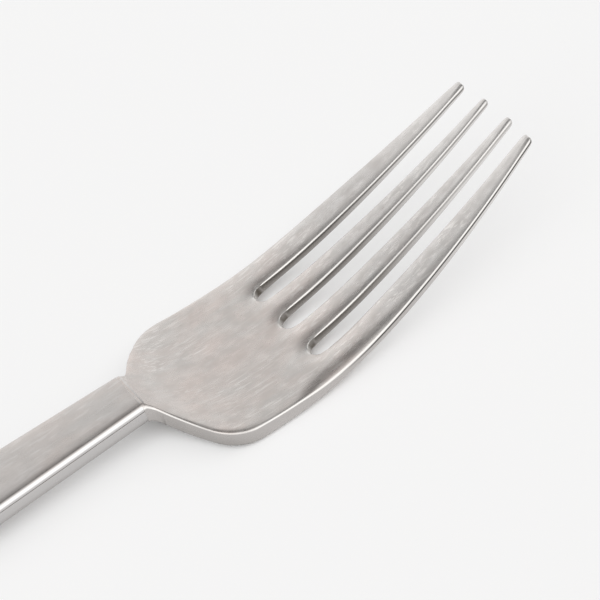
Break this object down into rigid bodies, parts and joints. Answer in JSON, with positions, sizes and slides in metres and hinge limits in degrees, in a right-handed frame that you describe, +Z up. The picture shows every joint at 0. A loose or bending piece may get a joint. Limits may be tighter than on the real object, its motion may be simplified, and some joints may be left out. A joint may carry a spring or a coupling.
{
  "type": "dinner fork",
  "caption": "Stainless dinner fork with slim tapered tines, a dished palm, rounded shoulders and a flat handle that widens to a squared end",
  "frame": {"origin": "on the table plane, under the middle of the fork's length and width", "axes": "+X along the fork towards the tine tips, +Y to the left when looking along the tines, +Z up; the fork lies with its tines curving upwards, resting on the belly of the head and the end of the handle"},
  "size_m": [0.1966, 0.0258, 0.0145],
  "materials": {
    "head_steel": "worn satin stainless steel with fine random scratches",
    "handle_steel": "worn satin stainless steel with fine lengthwise grain",
    "neck_braze_metal": "pale smoothed braze",
    "seam_braze_metal": "dark fine seam",
    "filler_resin": "cast filler, unseen"
  },
  "bodies": {
    "root": {"fork_head": "head_steel", "neck_braze": "neck_braze_metal", "handle_lid": "handle_steel", "handle_tray": "handle_steel", "seam_braze": "seam_braze_metal", "handle_filler": "filler_resin"}
  },
  "joints": []
}
